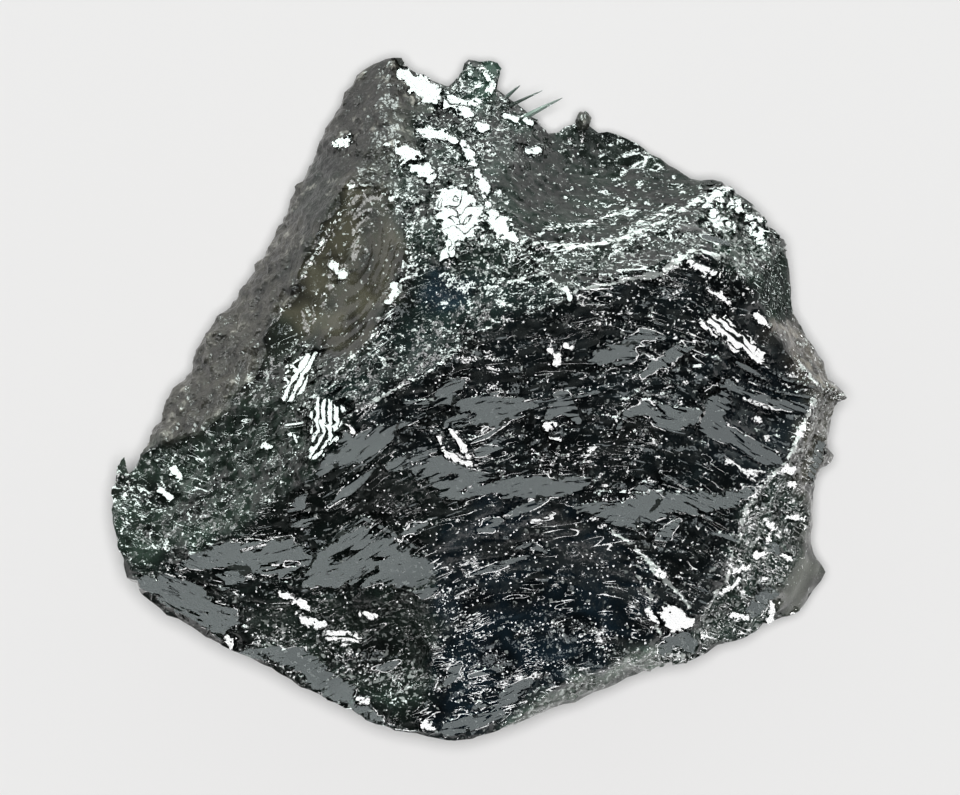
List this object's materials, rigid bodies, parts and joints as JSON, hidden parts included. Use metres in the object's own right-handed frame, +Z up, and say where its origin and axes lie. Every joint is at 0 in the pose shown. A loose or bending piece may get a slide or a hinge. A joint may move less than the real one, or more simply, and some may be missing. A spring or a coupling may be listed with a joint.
{
  "type": "rough tourmaline",
  "caption": "Broken piece of rough dark green tourmaline with stepped glassy fractures, a hollowed shell-shaped break and pebbly natural skin down one side.",
  "frame": {"origin": "middle of the stone's bounding box seen from above, on the plane of the flat break it rests on", "axes": "+Z up from the resting break towards the big stepped glassy face, +X along the stone's longest extent away from the natural skin, +Y across it towards the narrow top end of the skin"},
  "size_m": [0.0298, 0.0278, 0.0144],
  "materials": {
    "tourmaline": "glassy broken surface, nearly black in the mass and bottle green where it is thin, with matt brown-grey natural skin on one side"
  },
  "bodies": {
    "root": {"rough_stone": "tourmaline"}
  },
  "joints": []
}
